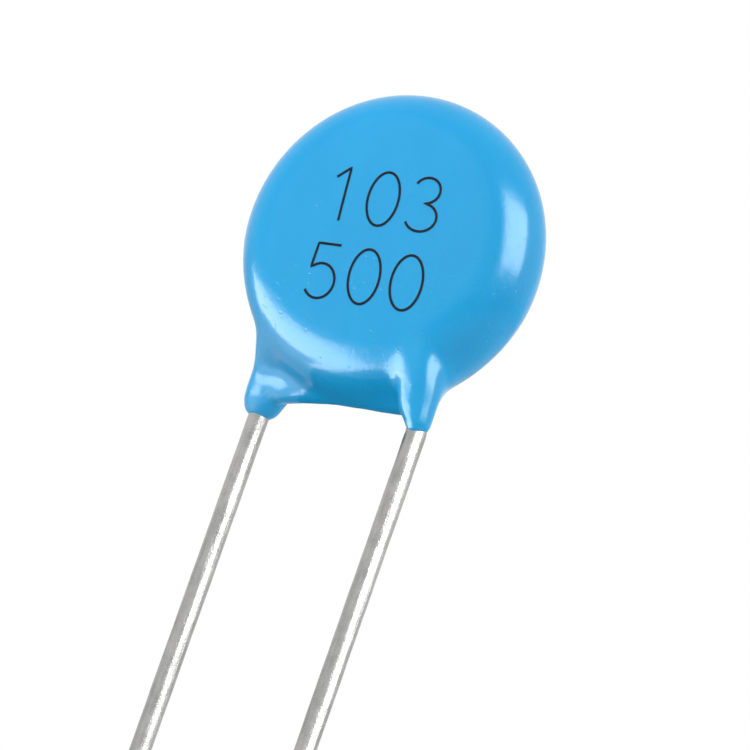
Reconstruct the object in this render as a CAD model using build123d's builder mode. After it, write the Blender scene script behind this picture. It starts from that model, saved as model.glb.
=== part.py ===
"""Ceramic disc capacitor with two straight tinned leads and a dipped epoxy coat.

A ceramic disc carries a silver electrode on each face. A lead wire is soldered to
each electrode, and the whole is dipped in epoxy, which runs a little way down
the leads. The wires lean inward under the coat to grip the disc.

Frame: +Z is up and the leads point down. The front face looks along -Y. The origin
is midway between the leads, on the plane where the coat's longer leg meets the board.
"""

import os
from math import atan2, cos, degrees, sin, sqrt, tan

from build123d import *

# Ceramic disc and its silver electrodes
ceramic_diameter = 9.6
ceramic_thickness = 1.2
ceramic_edge_fillet = 0.1
electrode_margin = 0.5
electrode_thickness = 0.03

# Lead wires
lead_diameter = 0.8
lead_pitch = 7.5
lead_length = 25.0
lead_tip_chamfer = 0.08
bend_rise = 0.25          # from the coat's end to the corner of the inward bend
lead_end_offset = 1.5     # from the disc's upright centre line to the buried end
lead_end_rise = 0.6       # of the buried end above the disc's centre

# Solder joints
solder_film = 0.05        # between a lead and its electrode
solder_width = 2.0
solder_height = 0.7
solder_margin = 0.3       # from the solder's foot to the electrode's edge
solder_taper = 25.0

# Epoxy coat
disc_rise = 7.15          # of the disc's centre above the seating plane
disc_shift = -0.2         # of the disc's centre from the middle of the leads
coat_edge = 1.2           # over the ceramic's edge
coat_over_lead = 0.5
rim_radius = 1.75
rear_leg_end = 0.0        # height at which the coat ends on each lead
front_leg_end = 0.75
leg_walls = ((0.0, 0.1), (1.3, 0.24), (2.8, 0.42), (4.0, 0.3), (5.2, 0.06))
web_rear_height = 0.55    # lower edge of the web at the rear lead and at the front lead
web_front_height = 1.55
web_thickness = 1.2
web_depth = 4.0

# Sizes that follow from these
ceramic_radius = ceramic_diameter / 2
electrode_radius = ceramic_radius - electrode_margin
electrode_face = ceramic_thickness / 2 + electrode_thickness
lead_radius = lead_diameter / 2
lead_depth = electrode_face + solder_film + lead_radius
coat_radius = ceramic_radius + coat_edge
coat_half = lead_depth + lead_radius + coat_over_lead
solder_reach = electrode_radius - solder_margin - solder_width / 2

# Each side faces outward from the ceramic: the front along -Y with its lead at +X,
# the rear along +Y with its lead at -X.
sides = {"front": 1, "rear": -1}
leg_ends = {"front": front_leg_end, "rear": rear_leg_end}
disc_centre = Vector(disc_shift, 0, disc_rise)


def side_plane(side, origin):
    """A plane that faces outward on one side, with its x towards that side's lead."""
    return Plane(origin=origin, x_dir=(side, 0, 0), z_dir=(0, -side, 0))


def lead_lean(name):
    """The angle at which a lead leans inward, from its bend to its buried end."""
    inward = lead_pitch / 2 - sides[name] * disc_shift - lead_end_offset
    upward = disc_rise + lead_end_rise - leg_ends[name] - bend_rise
    return atan2(inward, upward)


def lead_x(name, rise):
    """How far out a lead's centre line is, at a height above the coat's end."""
    return lead_pitch / 2 - max(rise - bend_rise, 0) * tan(lead_lean(name))


# Ceramic disc
with BuildPart() as ceramic_disc:
    with BuildSketch(side_plane(1, disc_centre)):
        Circle(ceramic_radius)
    extrude(amount=ceramic_thickness / 2, both=True)
    fillet(ceramic_disc.edges().filter_by(GeomType.CIRCLE), ceramic_edge_fillet)
ceramic_disc.part.label = "ceramic_disc"

electrodes = {}
leads = {}
solders = {}

for name, side in sides.items():
    # Electrode, fired onto the ceramic's face
    with BuildPart() as electrode:
        with BuildSketch(side_plane(side, disc_centre).offset(ceramic_thickness / 2)):
            Circle(electrode_radius)
        extrude(amount=electrode_thickness)
    electrode.part.label = f"electrode_{name}"
    electrodes[name] = electrode

    # Lead wire: straight from its tip to the coat, then bent inward along the electrode
    lean = lead_lean(name)
    lead_plane = side_plane(side, (side * lead_pitch / 2, -side * lead_depth, 0))
    bend = (0, leg_ends[name] + bend_rise)
    end_height = disc_rise + lead_end_rise
    end = (lead_x(name, end_height - leg_ends[name]) - lead_pitch / 2, end_height)
    with BuildPart() as lead:
        with BuildLine(lead_plane) as path:
            FilletPolyline((0, -lead_length), bend, end, radius=bend_rise / tan(lean / 2))
        with BuildSketch(Plane(origin=path.line @ 0, z_dir=path.line % 0)):
            Circle(lead_radius)
        sweep(path=path.line)
        chamfer(lead.edges().group_by(Axis.Z)[0], lead_tip_chamfer)
    lead.part.label = f"lead_{name}"
    leads[name] = lead

    # Solder: a low mound along the lead, kept within the electrode
    end_out = lead_end_offset
    slope = end_out * sin(lean) - lead_end_rise * cos(lean)
    run = sqrt(slope**2 - end_out**2 - lead_end_rise**2 + solder_reach**2) - slope
    middle = (end_out + run / 2 * sin(lean), lead_end_rise - run / 2 * cos(lean))
    with BuildPart() as solder:
        with BuildSketch(side_plane(side, disc_centre).offset(electrode_face)):
            with Locations(middle):
                SlotCenterToCenter(run, solder_width, rotation=90 + degrees(lean))
        extrude(amount=solder_height, taper=solder_taper)
        add(lead.part, mode=Mode.SUBTRACT)
    solder.part.label = f"solder_{name}"
    solders[name] = solder

# Epoxy coat: a round body with a domed face on each side and a rounded rim
rim_centre = coat_radius - rim_radius
dome_radius = (rim_centre**2 + coat_half**2 - rim_radius**2) / (2 * (coat_half - rim_radius))
dome_share = dome_radius / (dome_radius - rim_radius)
dome_end = Vector(rim_centre * dome_share, coat_half - dome_radius)
dome_end += Vector(0, (dome_radius - coat_half) * dome_share)
with BuildPart() as epoxy_coat:
    with BuildSketch(Plane(origin=disc_centre)):
        with BuildLine():
            TangentArc((0, coat_half), dome_end, tangent=(1, 0))
            ThreePointArc(dome_end, (coat_radius, 0), (dome_end.X, -dome_end.Y))
            TangentArc((0, -coat_half), (dome_end.X, -dome_end.Y), tangent=(1, 0))
            Line((0, -coat_half), (0, coat_half))
        make_face()
    revolve(axis=Axis(disc_centre, (0, 1, 0)))

    # Web between the leads, from the rear leg to the front leg
    rear_foot = Vector(-lead_pitch / 2, lead_depth, web_rear_height)
    web_run = Vector(lead_pitch / 2, -lead_depth, web_front_height) - rear_foot
    web_up = web_run.cross(Vector(0, 0, 1)).cross(web_run)
    with BuildSketch(Plane(origin=rear_foot, x_dir=web_up, z_dir=web_run)):
        with Locations((web_depth / 2, 0)):
            SlotOverall(web_depth, web_thickness)
    extrude(amount=web_run.length)

# Legs, where the epoxy has run down the leads. A leg is straight outside
# and widens inward with the leaning wire, and its upper end is sunk in the body.
legs = {}
for name, side in sides.items():
    with BuildPart() as leg:
        for rise, wall in leg_walls:
            outer = lead_pitch / 2 + lead_radius + wall
            inner = lead_x(name, rise) - lead_radius - wall
            with BuildSketch(Plane.XY.offset(leg_ends[name] + rise)):
                with Locations((side * (outer + inner) / 2, -side * lead_depth)):
                    Ellipse((outer - inner) / 2, lead_radius + wall)
        loft()
    legs[name] = leg

with epoxy_coat:
    for name in sides:
        add(legs[name].part)
    for piece in (ceramic_disc, *electrodes.values(), *leads.values(), *solders.values()):
        add(piece.part, mode=Mode.SUBTRACT)
epoxy_coat.part.label = "epoxy_coat"

os.makedirs("parts", exist_ok=True)
for piece in (epoxy_coat, ceramic_disc, *electrodes.values(), *leads.values(), *solders.values()):
    export_step(piece.part, f"parts/{piece.part.label}.step")
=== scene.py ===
"""Ceramic disc capacitor: dipped epoxy coat, printed rating and tinned wires on the CAD frame.

Shapes are made in millimetres, in the frame's own axes, and shrunk to metres at the end.
"""

import math

import bpy
from mathutils import Matrix, Vector


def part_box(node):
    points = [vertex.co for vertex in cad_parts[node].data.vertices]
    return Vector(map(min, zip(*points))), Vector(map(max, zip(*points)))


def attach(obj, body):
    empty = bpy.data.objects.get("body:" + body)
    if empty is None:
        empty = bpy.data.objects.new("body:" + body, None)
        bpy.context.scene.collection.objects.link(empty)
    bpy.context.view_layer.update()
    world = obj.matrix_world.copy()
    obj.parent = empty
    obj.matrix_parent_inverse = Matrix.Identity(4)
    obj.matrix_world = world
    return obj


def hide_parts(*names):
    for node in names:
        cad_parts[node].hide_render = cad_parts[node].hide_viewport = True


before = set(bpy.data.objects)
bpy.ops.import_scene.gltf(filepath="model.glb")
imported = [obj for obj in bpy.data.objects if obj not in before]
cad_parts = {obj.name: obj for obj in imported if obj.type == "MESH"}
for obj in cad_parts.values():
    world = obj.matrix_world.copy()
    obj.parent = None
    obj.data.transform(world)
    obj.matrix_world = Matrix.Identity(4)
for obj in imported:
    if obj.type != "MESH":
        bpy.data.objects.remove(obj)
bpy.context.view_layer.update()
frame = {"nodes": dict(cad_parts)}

MM = 0.001

# ------------------------------------------------------------------ places, from the frame


def box_mm(node):
    """A CAD node's lowest and highest corners, in millimetres."""
    low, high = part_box(node)
    return Vector(low) / MM, Vector(high) / MM


coat_low, coat_high = box_mm("epoxy_coat")
ceramic_low, ceramic_high = box_mm("ceramic_disc")
front_low, front_high = box_mm("lead_front")
rear_low, rear_high = box_mm("lead_rear")

# how far the body stays inside the CAD coat, at its edge and at its faces
RADIUS_TRIM = 0.03
DEPTH_TRIM = 0.02
# the wires' buried ends stop this far short of the CAD ones
WIRE_TOP_TRIM = 0.1

disc = (ceramic_low + ceramic_high) / 2
coat_radius = (coat_high.x - coat_low.x) / 2 - RADIUS_TRIM
coat_half = (coat_high.y - coat_low.y) / 2 - DEPTH_TRIM
rim_radius = 1.8
wire_radius = (front_high.y - front_low.y) / 2
wire_tip = front_low.z
wires = {
    "front": Vector((front_high.x - wire_radius, (front_low.y + front_high.y) / 2, 0)),
    "rear": Vector((rear_low.x + wire_radius, (rear_low.y + rear_high.y) / 2, 0)),
}
wire_tops = {
    "front": Vector((front_low.x + wire_radius, wires["front"].y, front_high.z - WIRE_TOP_TRIM)),
    "rear": Vector((rear_high.x - wire_radius, wires["rear"].y, rear_high.z - WIRE_TOP_TRIM)),
}
# height at which the coat ends on each wire
leg_ends = {"front": 0.75, "rear": 0.0}

# ------------------------------------------------------------------ camera and light

VIEW_AZIMUTH = math.radians(27)
VIEW_ELEVATION = math.radians(-7.6)
VIEW_ROLL = math.radians(19.4)
VIEW_DISTANCE = 150
VIEW_WIDTH = 27.85
AIM_RIGHT = 0.92
AIM_UP = -4.6


def direction(azimuth, elevation):
    """The unit vector from the object towards a viewer; azimuth 0 is in front."""
    flat = math.cos(elevation)
    return Vector((math.sin(azimuth) * flat, -math.cos(azimuth) * flat, math.sin(elevation)))


def aim_camera():
    """The camera, rolled so that the wires run down to the left."""
    back = direction(VIEW_AZIMUTH, VIEW_ELEVATION)
    right = Vector((math.cos(VIEW_AZIMUTH), math.sin(VIEW_AZIMUTH), 0))
    up = back.cross(right)
    aim = disc + right * AIM_RIGHT + up * AIM_UP
    rolled_right = right * math.cos(VIEW_ROLL) + up * math.sin(VIEW_ROLL)
    rolled_up = up * math.cos(VIEW_ROLL) - right * math.sin(VIEW_ROLL)
    turn = Matrix((rolled_right, rolled_up, back)).transposed().to_4x4()
    data = bpy.data.cameras.new("camera")
    data.lens = data.sensor_width * VIEW_DISTANCE / VIEW_WIDTH
    data.clip_start = 0.005
    camera = bpy.data.objects.new("camera", data)
    camera.matrix_world = Matrix.Translation((aim + back * VIEW_DISTANCE) * MM) @ turn
    bpy.context.scene.collection.objects.link(camera)
    bpy.context.scene.camera = camera


def soft_box(name, azimuth, elevation, distance, width, height, radiance, fill=True, shine=True):
    """A rectangular lamp that faces the disc; its power gives the radiance at any size.

    A lamp with no fill only shows as a reflection, and one with no shine is never reflected."""
    away = direction(math.radians(azimuth), math.radians(elevation))
    data = bpy.data.lights.new(name, "AREA")
    data.shape = "RECTANGLE"
    data.size = width * MM
    data.size_y = height * MM
    data.energy = radiance * math.pi * width * height * MM * MM
    lamp = bpy.data.objects.new(name, data)
    turn = away.to_track_quat("Z", "Y").to_matrix().to_4x4()
    lamp.matrix_world = Matrix.Translation((disc + away * distance) * MM) @ turn
    lamp.visible_camera = False
    lamp.visible_diffuse = fill
    lamp.visible_glossy = shine
    bpy.context.scene.collection.objects.link(lamp)
    return lamp


# ------------------------------------------------------------------ shader maths


class Num:
    """A number socket that adds Math nodes when it is used in an expression."""

    def __init__(self, shader, socket):
        self.shader = shader
        self.socket = socket

    def _math(self, operation, *values):
        return self.shader.node("ShaderNodeMath", {"operation": operation}, dict(enumerate(values)))

    def __add__(self, other):
        return self._math("ADD", self, other)

    def __sub__(self, other):
        return self._math("SUBTRACT", self, other)

    def __mul__(self, other):
        return self._math("MULTIPLY", self, other)

    def __rsub__(self, other):
        return self._math("SUBTRACT", other, self)

    def clamp(self):
        """The number held between 0 and 1."""
        return self._math("MAXIMUM", self._math("MINIMUM", self, 1.0), 0.0)

    __radd__ = __add__
    __rmul__ = __mul__


class Shader:
    """A material's nodes, made one call at a time."""

    def __init__(self, name):
        self.material = bpy.data.materials.new(name)
        self.material.use_nodes = True
        self.nodes = self.material.node_tree.nodes
        self.links = self.material.node_tree.links
        self.surface = self.nodes["Principled BSDF"]
        self.place = self.node("ShaderNodeTexCoord", {}, {}, "Object")

    def put(self, socket, value):
        """A link where the value comes from a node, and a plain setting where it doesn't."""
        if isinstance(value, Num):
            self.links.new(value.socket, socket)
        else:
            socket.default_value = value

    def node(self, kind, settings, inputs, output=0):
        """A new node with its settings and inputs, as the socket it gives."""
        made = self.nodes.new(kind)
        for key, value in settings.items():
            setattr(made, key, value)
        for key, value in inputs.items():
            self.put(made.inputs[key], value)
        return Num(self, made.outputs[output])

    def stretched(self, x, y, z):
        """Object coordinates, scaled so that 1 is about a millimetre over the given stretch."""
        scale = (x / MM, y / MM, z / MM)
        return self.node("ShaderNodeMapping", {}, {"Vector": self.place, "Scale": scale})

    def noise(self, place, scale, detail=2.0):
        inputs = {"Vector": place, "Scale": scale, "Detail": detail}
        return self.node("ShaderNodeTexNoise", {}, inputs, "Fac")

    def ramp(self, value, low, high):
        """0 at low, 1 at high, straight in between."""
        limits = {"Value": value, "From Min": low, "From Max": high}
        return self.node("ShaderNodeMapRange", {"clamp": True}, limits)

    def blend(self, share, first, second):
        """A colour between two colours."""
        made = self.nodes.new("ShaderNodeMix")
        made.data_type = "RGBA"
        self.put(made.inputs[0], share)
        self.put(made.inputs[6], first)
        self.put(made.inputs[7], second)
        return Num(self, made.outputs[2])

    def bump(self, height, strength, distance):
        """Height in millimetres, as a normal."""
        inputs = {"Height": height, "Strength": strength, "Distance": distance * MM}
        self.put(self.surface.inputs["Normal"], self.node("ShaderNodeBump", {}, inputs))

    def finish(self, **sockets):
        for key, value in sockets.items():
            self.put(self.surface.inputs[key.replace("_", " ")], value)
        return self.material


# ------------------------------------------------------------------ materials


def epoxy_finish():
    """Glossy sky-blue dipped epoxy: faint flow, orange peel and a few pin pricks."""
    shader = Shader("dipped_epoxy")
    flow = shader.noise(shader.stretched(1, 1, 0.5), 0.35)
    speckle = shader.noise(shader.stretched(1, 1, 1), 9.0, 3.0)
    peel = shader.noise(shader.stretched(1, 1, 1), 3.2, 2.0)
    pits = shader.ramp(shader.noise(shader.stretched(1, 1, 1), 5.5, 1.0), 0.30, 0.24)
    tone = (shader.ramp(flow, 0.35, 0.65) * 0.6 + speckle * 0.4).clamp()
    colour = shader.blend(tone, (0.0015, 0.328, 0.680, 1), (0.0030, 0.362, 0.722, 1))
    shader.bump(peel * 0.008 + speckle * 0.009 - pits * 0.014, 0.5, 1.0)
    return shader.finish(
        Base_Color=colour,
        Roughness=0.16 + speckle * 0.08,
        IOR=1.42,
    )


def tin_finish():
    """Hot-tinned copper wire: satin, with drawn streaks and cloudy patches."""
    shader = Shader("tinned_wire")
    streak = shader.noise(shader.stretched(6, 6, 0.35), 1.0, 3.0)
    cloud = shader.noise(shader.stretched(1, 1, 0.6), 2.6, 3.0)
    grain = shader.noise(shader.stretched(1, 1, 1), 14.0, 2.0)
    tone = (streak * 0.5 + cloud * 0.5).clamp()
    bright = shader.ramp(tone, 0.35, 0.65)
    colour = shader.blend(bright, (0.33, 0.33, 0.325, 1), (0.47, 0.465, 0.46, 1))
    shader.bump(streak * 0.04 + cloud * 0.04 + grain * 0.022, 0.6, 1.0)
    return shader.finish(
        Base_Color=colour,
        Metallic=1.0,
        Roughness=0.2 + cloud * 0.16,
    )


def ink_finish():
    """Thin black ink, a little patchy where it has dried on the gloss."""
    shader = Shader("printed_ink")
    patch = shader.noise(shader.stretched(1, 1, 1), 7.0, 3.0)
    dried = shader.ramp(patch, 0.45, 0.75)
    colour = shader.blend(dried, (0.0035, 0.005, 0.009, 1), (0.008, 0.018, 0.035, 1))
    return shader.finish(Base_Color=colour, Roughness=0.5 + patch * 0.15, Specular_IOR_Level=0.25)


def ceramic_finish():
    """Fired brown dielectric with a fine grain."""
    shader = Shader("fired_ceramic")
    grain = shader.noise(shader.stretched(1, 1, 1), 12.0, 4.0)
    shader.bump(grain * 0.01, 0.5, 1.0)
    colour = shader.blend(grain, (0.34, 0.22, 0.13, 1), (0.50, 0.37, 0.25, 1))
    return shader.finish(Base_Color=colour, Roughness=0.75 + grain * 0.1)


def silver_finish():
    """Fired silver paste, matt and slightly mottled."""
    shader = Shader("fired_silver")
    grain = shader.noise(shader.stretched(1, 1, 1), 8.0, 4.0)
    colour = shader.blend(grain, (0.62, 0.60, 0.55, 1), (0.82, 0.81, 0.78, 1))
    return shader.finish(Base_Color=colour, Metallic=1.0, Roughness=0.45 + grain * 0.15)


def solder_finish():
    """Dull soft solder with a frosty skin."""
    shader = Shader("soft_solder")
    frost = shader.noise(shader.stretched(1, 1, 1), 5.0, 4.0)
    shader.bump(frost * 0.02, 0.5, 1.0)
    colour = shader.blend(frost, (0.42, 0.42, 0.42, 1), (0.66, 0.66, 0.65, 1))
    return shader.finish(Base_Color=colour, Metallic=1.0, Roughness=0.35 + frost * 0.2)


# ------------------------------------------------------------------ modelling steps


def only(piece):
    """Selects one object and nothing else."""
    if bpy.context.mode != "OBJECT":
        bpy.ops.object.mode_set(mode="OBJECT")
    bpy.ops.object.select_all(action="DESELECT")
    piece.select_set(True)
    bpy.context.view_layer.objects.active = piece


def pull_rings(name, rings, turn=(0, 0, 0), points=40):
    """A closed form drawn ring by ring. A ring is its centre and its (x, y, z) radii."""
    bpy.ops.object.select_all(action="DESELECT")
    centre, radii = rings[0]
    bpy.ops.mesh.primitive_circle_add(
        vertices=points, radius=1, fill_type="NGON", location=centre, rotation=turn)
    piece = bpy.context.object
    piece.name = name
    bpy.ops.object.transform_apply(location=True, rotation=True, scale=False)
    bpy.ops.object.mode_set(mode="EDIT")
    bpy.ops.mesh.select_all(action="SELECT")
    bpy.ops.transform.resize(value=radii, center_override=centre)
    for (old_centre, old_radii), (centre, radii) in zip(rings, rings[1:]):
        step = Vector(centre) - Vector(old_centre)
        bpy.ops.mesh.extrude_region_move(TRANSFORM_OT_translate={"value": step})
        growth = [new / old for new, old in zip(radii, old_radii)]
        bpy.ops.transform.resize(value=growth, center_override=centre)
    bpy.ops.mesh.select_all(action="SELECT")
    bpy.ops.mesh.normals_make_consistent(inside=False)
    bpy.ops.object.mode_set(mode="OBJECT")
    return piece


def apply_modifier(piece, kind, **settings):
    """Adds a modifier to the piece and applies it."""
    only(piece)
    modifier = piece.modifiers.new(kind.lower(), kind)
    for key, value in settings.items():
        setattr(modifier, key, value)
    bpy.ops.object.modifier_apply(modifier=modifier.name)


def join(name, parts):
    """The parts as one object."""
    only(parts[0])
    for part in parts[1:]:
        part.select_set(True)
    bpy.ops.object.join()
    bpy.context.object.name = name
    return bpy.context.object


def settle(piece, material, slot, *nodes):
    """Shrinks a finished piece to metres, gives it its finish and puts it on the frame."""
    only(piece)
    bpy.ops.object.transform_apply(location=True, rotation=True, scale=True)
    piece.data.transform(Matrix.Scale(MM, 4))
    piece.data.materials.clear()
    piece.data.materials.append(material)
    bpy.ops.object.shade_smooth()
    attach(piece, "root")
    if nodes:
        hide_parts(*nodes)


# ------------------------------------------------------------------ epoxy coat


ARC_STEPS = 8


def body_rings():
    """The round body from its rear face to its front face: two shallow domes and a round rim."""
    centre = coat_radius - rim_radius
    dome = (centre**2 + coat_half**2 - rim_radius**2) / (2 * (coat_half - rim_radius))
    turn_over = math.asin(centre / (dome - rim_radius))
    half = []
    for step in range(1, ARC_STEPS + 1):
        angle = turn_over * step / ARC_STEPS
        half.append((dome * math.sin(angle), coat_half - dome + dome * math.cos(angle)))
    for step in range(1, ARC_STEPS + 1):
        angle = turn_over + (math.pi / 2 - turn_over) * step / ARC_STEPS
        half.append((centre + rim_radius * math.sin(angle), rim_radius * math.cos(angle)))
    outline = half + [(radius, -depth) for radius, depth in reversed(half[:-1])]
    return [(disc + Vector((0, depth, 0)), (radius, 1, radius)) for radius, depth in outline]


# The run of epoxy down each wire. A row is a height, how far the coat reaches outward,
# inward, to the front and to the back of the wire's straight line.
LEG_ROWS = {
    "front": (
        (0.58, 0.20, 0.24, 0.42, 0.20),
        (0.72, 0.36, 0.40, 0.50, 0.40),
        (0.95, 0.46, 0.60, 0.58, 0.52),
        (1.25, 0.47, 0.98, 0.62, 0.60),
        (1.70, 0.47, 1.25, 0.66, 0.72),
        (2.40, 0.45, 1.45, 0.76, 0.85),
        (3.20, 0.20, 1.60, 0.82, 1.00),
        (4.20, -0.20, 1.90, 0.55, 1.00),
        (5.40, -0.70, 2.10, 0.00, 0.90),
    ),
    "rear": (
        (-0.14, 0.43, 0.40, 0.34, 0.34),
        (0.06, 0.66, 0.66, 0.52, 0.50),
        (0.40, 0.76, 0.84, 0.72, 0.56),
        (1.00, 0.80, 1.10, 0.84, 0.60),
        (1.55, 0.78, 1.50, 0.98, 0.66),
        (2.30, 0.74, 1.90, 1.95, 0.70),
        (3.60, 0.56, 2.00, 2.50, 0.60),
        (5.20, -0.10, 2.00, 2.00, 0.30),
    ),
    "front_shoulder": (
        (1.90, 0.15, 0.65, 0.17, 0.63),
        (2.40, 0.25, 0.75, 0.12, 0.88),
        (2.90, 0.42, 0.70, -0.08, 1.28),
        (3.30, 0.66, 0.75, -0.08, 1.48),
        (4.00, 0.75, 0.85, -0.18, 1.98),
    ),
}


def leg_rings(name, wire):
    """The rings of one of the LEG_ROWS, round a wire's straight line."""
    side = 1 if wire == "front" else -1
    rings = []
    for height, outward, inward, forward, backward in LEG_ROWS[name]:
        shift = Vector((side * (outward - inward) / 2, (backward - forward) / 2, height))
        rings.append((wires[wire] + shift, ((outward + inward) / 2, (forward + backward) / 2, 1)))
    return rings


# The web: lower edge, half thickness, half depth and distance behind the middle plane, at
# shares of the way from the rear wire to the front wire
WEB_ROWS = (
    (0.00, 0.66, 0.42, 0.60, 0.62),
    (0.12, 0.48, 0.50, 0.90, 0.52),
    (0.26, 0.76, 0.60, 1.00, 0.42),
    (0.42, 0.98, 0.72, 1.00, 0.30),
    (0.60, 1.10, 0.76, 1.00, 0.18),
    (0.78, 1.20, 0.72, 0.95, 0.08),
    (0.90, 1.32, 0.60, 0.80, 0.00),
    (1.00, 1.56, 0.45, 0.60, -0.20),
)


def web_rings():
    """The rings of the web, from the rear wire to the front wire."""
    rings = []
    for share, edge, thick, deep, behind in WEB_ROWS:
        across = wires["rear"].lerp(wires["front"], share).x
        rings.append((Vector((across, behind, edge + deep)), (1, thick, deep)))
    return rings


VOXEL = 0.09
# The long smoothing fades in upwards from the legs and out again over the body
SHOULDER_FOOT, SHOULDER_FADE_IN = 0.8, 1.2
SHOULDER_TOP, SHOULDER_FADE_OUT = 6.0, 2.0
SHOULDER_PASSES = 170
SKIN_PASSES = 10


def limited(value):
    """The value held between 0 and 1."""
    return min(max(value, 0), 1)


def make_coat():
    """The coat: body, legs and web fused by a remesh, then flowed together by smoothing."""
    quarter = math.pi / 2
    parts = [
        pull_rings("body", body_rings(), turn=(quarter, 0, 0), points=96),
        pull_rings("front_leg", leg_rings("front", "front")),
        pull_rings("front_shoulder", leg_rings("front_shoulder", "front")),
        pull_rings("rear_leg", leg_rings("rear", "rear")),
        pull_rings("web", web_rings(), turn=(0, quarter, 0)),
    ]
    coat = join("dipped_coat", parts)
    apply_modifier(coat, "REMESH", mode="VOXEL", voxel_size=VOXEL)
    shoulders = coat.vertex_groups.new(name="shoulders")
    for vertex in coat.data.vertices:
        height = vertex.co.z
        fade_in = limited((height - SHOULDER_FOOT) / SHOULDER_FADE_IN)
        fade_out = limited((SHOULDER_TOP - height) / SHOULDER_FADE_OUT)
        shoulders.add([vertex.index], fade_in * fade_out, "REPLACE")
    apply_modifier(coat, "SMOOTH", factor=0.5, iterations=SHOULDER_PASSES, vertex_group="shoulders")
    coat.vertex_groups.clear()
    apply_modifier(coat, "SMOOTH", factor=0.5, iterations=SKIN_PASSES)
    return coat


# ------------------------------------------------------------------ tinned wires


# The cut tip: height above the wire's end, and share of the wire's radius
TIP_ROWS = ((0.0, 0.86), (0.03, 0.95), (0.09, 1.0))
TIP_LENGTH = TIP_ROWS[-1][0]
BEND_RISE = 0.25          # of the bend above the end of the coat
BEND_RUN_IN = 0.5         # left clear of rings before the bend
RUN_STEPS = 70
# The wire is slightly uneven: share of the radius, turn for each millimetre, multiple of the phase
SWELLS = ((0.008, 1.7, 1), (0.006, 4.3, 2))
SWELL_PHASE = {"front": 0.4, "rear": 2.1}
LEAN_SHARES = (0.06, 0.3, 0.6, 1.0)


def make_wire(name):
    """A tinned wire: cut tip, straight run, and the lean inward under the coat."""
    bend = wires[name] + Vector((0, 0, leg_ends[name] + BEND_RISE))
    tip = wires[name] + Vector((0, 0, wire_tip))
    phase = SWELL_PHASE[name]
    rings = [(tip + Vector((0, 0, height)), size) for height, size in TIP_ROWS]
    run = bend.z - tip.z - BEND_RUN_IN
    for step in range(1, RUN_STEPS + 1):
        along = run * step / RUN_STEPS
        waves = (part * math.sin(along * pace + times * phase) for part, pace, times in SWELLS)
        rings.append((tip + Vector((0, 0, TIP_LENGTH + along)), sum(waves, 1)))
    rings += [(bend.lerp(wire_tops[name], way), 1.0) for way in LEAN_SHARES]
    sized = [(centre, (wire_radius * size, wire_radius * size, 1)) for centre, size in rings]
    return pull_rings(f"tinned_wire_{name}", sized, points=48)


# ------------------------------------------------------------------ printed rating

GLYPH_HEIGHT = 2.08
STROKE = 0.105
STROKE_POINT_GAP = 0.05   # as a share of the glyph's height
DIGIT_PITCH = 1.72
LINE_PITCH = 3.0
PRINT_LEFT = -2.35        # foot of the first digit, from the print's middle
PRINT_FOOT = 0.46
PRINT_TURN = math.radians(6.2)
PRINT_MIDDLE = Vector((0.1, 0, -0.1))     # from the disc's middle
INK_STAND = 0.012         # of the strokes' middle off the coat
INK_FLATNESS = 0.08       # of a stroke's depth that is left


def arc(x, y, across, up, start, stop, steps=14):
    """Points of an oval arc, angles in degrees from +x."""
    points = []
    for step in range(steps + 1):
        angle = math.radians(start + (stop - start) * step / steps)
        points.append((x + across * math.cos(angle), y + up * math.sin(angle)))
    return points


# Plain plotted digits on a cell one unit high: each is a list of strokes
DIGITS = {
    "0": [arc(0.3, 0.5, 0.3, 0.5, 90, 450, 40)],
    "1": [[(0.12, 0.8), (0.36, 1.0), (0.36, 0.0)]],
    "3": [arc(0.27, 0.76, 0.25, 0.24, 155, -90) + arc(0.27, 0.26, 0.3, 0.26, 90, -155, 18)],
    "5": [[(0.55, 1.0), (0.1, 1.0), (0.05, 0.55)] + arc(0.27, 0.32, 0.3, 0.32, 125, -145, 22)],
}


def close_set(points):
    """The same stroke with points close enough to follow the dome."""
    path = [points[0]]
    for (x0, y0), (x1, y1) in zip(points, points[1:]):
        count = max(1, round(math.hypot(x1 - x0, y1 - y0) / STROKE_POINT_GAP))
        path += [(x0 + (x1 - x0) * k / count, y0 + (y1 - y0) * k / count) for k in range(1, count + 1)]
    return path


def ribbon(points):
    """A flat stroke with round ends, as a filled curve."""
    points = close_set(points)
    data = bpy.data.curves.new("stroke", "CURVE")
    data.dimensions = "3D"
    data.bevel_depth = STROKE / 2
    data.bevel_resolution = 3
    data.use_fill_caps = True
    spline = data.splines.new("POLY")
    spline.points.add(len(points) - 1)
    for point, (x, y) in zip(spline.points, points):
        point.co = (x * GLYPH_HEIGHT, 0, y * GLYPH_HEIGHT, 1)
    return data


def make_print(coat):
    """Two lines of digits, laid on the front dome and flattened to a film of ink."""
    parts = []
    for row, text in enumerate(("103", "500")):
        for column, digit in enumerate(text):
            for stroke in DIGITS[digit]:
                curve = bpy.data.objects.new("stroke", ribbon(stroke))
                bpy.context.scene.collection.objects.link(curve)
                only(curve)
                bpy.ops.object.convert(target="MESH")
                foot = (column * DIGIT_PITCH + PRINT_LEFT, 0, -row * LINE_PITCH + PRINT_FOOT)
                bpy.context.object.data.transform(Matrix.Translation(foot))
                parts.append(bpy.context.object)
    ink = join("printed_rating", parts)
    ink.data.transform(Matrix.Rotation(-PRINT_TURN, 4, "Y"))
    middle = disc + PRINT_MIDDLE
    for vertex in ink.data.vertices:
        before = Vector((vertex.co.x + middle.x, -10, vertex.co.z + middle.z))
        _, place, normal, _ = coat.ray_cast(before, Vector((0, 1, 0)))
        vertex.co = place + normal * (INK_STAND - vertex.co.y * INK_FLATNESS)
    return ink


# ------------------------------------------------------------------ stage


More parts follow.
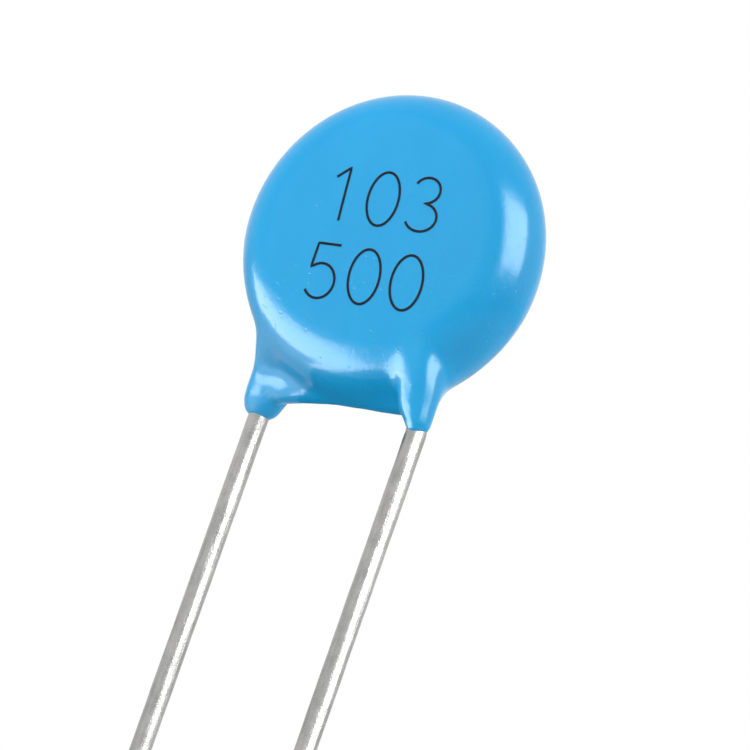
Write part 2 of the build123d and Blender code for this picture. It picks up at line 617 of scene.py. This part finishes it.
WORLD_LEVEL = 0.70        # of the surround, as light on the object
FLOOR_SIZE = 4            # in metres


def add_card(name, centre, across, deep, material):
    """A level card that only reflections see."""
    bpy.ops.object.select_all(action="DESELECT")
    bpy.ops.mesh.primitive_plane_add(size=MM, location=Vector(centre) * MM)
    bpy.ops.transform.resize(value=(across, deep, 1), center_override=Vector(centre) * MM)
    card = bpy.context.object
    card.name = name
    card.visible_camera = card.visible_diffuse = card.visible_shadow = False
    card.data.materials.append(material)


def make_stage():
    """A pale floor under the wire tips, and a white surround."""
    bpy.ops.object.select_all(action="DESELECT")
    bpy.ops.mesh.primitive_plane_add(size=FLOOR_SIZE, location=(0, 0, wire_tip * MM))
    floor = bpy.context.object
    floor.name = "floor"
    shader = Shader("pale_floor")
    rays = [
        shader.node("ShaderNodeLightPath", {}, {}, f"Is {kind} Ray")
        for kind in ("Camera", "Glossy", "Transmission")
    ]
    seen = (rays[0] + rays[1] + rays[2]).clamp()
    shader.finish(
        Base_Color=shader.blend(seen, (0.55, 0.55, 0.55, 1), (0.76, 0.76, 0.76, 1)),
        Roughness=0.7,
        Emission_Color=shader.blend(seen, (0, 0, 0, 1), (0.05, 0.05, 0.05, 1)),
        Emission_Strength=1.0,
    )
    floor.data.materials.append(shader.material)

    # The white card is as bright as the surround, and hides the low box from the rear leg. The
    # dark card is painted shade under the web: a grey sheet only reflections see, darkening its
    # underside.
    white, dark = Shader("white_card"), Shader("painted_shade_grey")
    white.finish(Base_Color=(0, 0, 0, 1), Emission_Color=(1, 1, 1, 1), Emission_Strength=1.0)
    # painted shade: dark grey that only reflections see, so the web's underside looks shaded
    dark.finish(Base_Color=(0.1, 0.1, 0.1, 1), Roughness=0.9)
    add_card("white_card", (-8.6, 0.2, -0.6), 10.8, 7.6, white.material)
    add_card("painted_shade_card", (0.3, 0.3, 0.62), 4.6, 4.4, dark.material)

    world = bpy.data.worlds.new("surround")
    bpy.context.scene.world = world
    world.use_nodes = True
    nodes, links = world.node_tree.nodes, world.node_tree.links
    paths = nodes.new("ShaderNodeLightPath")
    seen = paths.outputs["Is Camera Ray"]
    for other in ("Is Glossy Ray", "Is Transmission Ray"):
        either = nodes.new("ShaderNodeMath")
        either.operation = "MAXIMUM"
        links.new(seen, either.inputs[0])
        links.new(paths.outputs[other], either.inputs[1])
        seen = either.outputs[0]
    level = nodes.new("ShaderNodeMapRange")
    level.inputs["To Min"].default_value = WORLD_LEVEL
    level.inputs["To Max"].default_value = 1.0
    links.new(seen, level.inputs["Value"])
    links.new(level.outputs[0], nodes["Background"].inputs["Strength"])
    nodes["Background"].inputs["Color"].default_value = (1, 1, 1, 1)


# ------------------------------------------------------------------ the whole scene

aim_camera()
soft_box("right_box", 65, 30, 110, 105, 75, 10.5, fill=False)
low_box = soft_box("low_box", -53, -42, 38, 44, 44, 11.0, fill=False)
wire_box = soft_box("wire_box", 71, -2, 110, 142, 60, 2.5, fill=False)
soft_box("key_box", -25, 22, 160, 120, 120, 3.2, shine=False)
soft_box("side_fill", 112, 22, 160, 120, 120, 2.8, shine=False)
make_stage()

coat = make_coat()
ink = make_print(coat)
settle(coat, epoxy_finish(), "epoxy", "epoxy_coat")

# The low box lights only the coat, and the wire box only the wires
coat_only = bpy.data.collections.new("coat_only")
coat_only.objects.link(coat)
low_box.light_linking.receiver_collection = coat_only
wires_only = bpy.data.collections.new("wires_only")
wire_box.light_linking.receiver_collection = wires_only

settle(ink, ink_finish(), "ink")
tin = tin_finish()
for side in wires:
    wire = make_wire(side)
    settle(wire, tin, "tinned_wire", f"lead_{side}")
    wires_only.objects.link(wire)

nodes = frame["nodes"]
inner_finishes = {
    ceramic_finish(): ("ceramic_disc",),
    silver_finish(): ("electrode_front", "electrode_rear"),
    solder_finish(): ("solder_front", "solder_rear"),
}
for finish, names in inner_finishes.items():
    for name in names:
        nodes[name].data.materials.clear()
        nodes[name].data.materials.append(finish)

bpy.context.scene.view_settings.view_transform = "Standard"
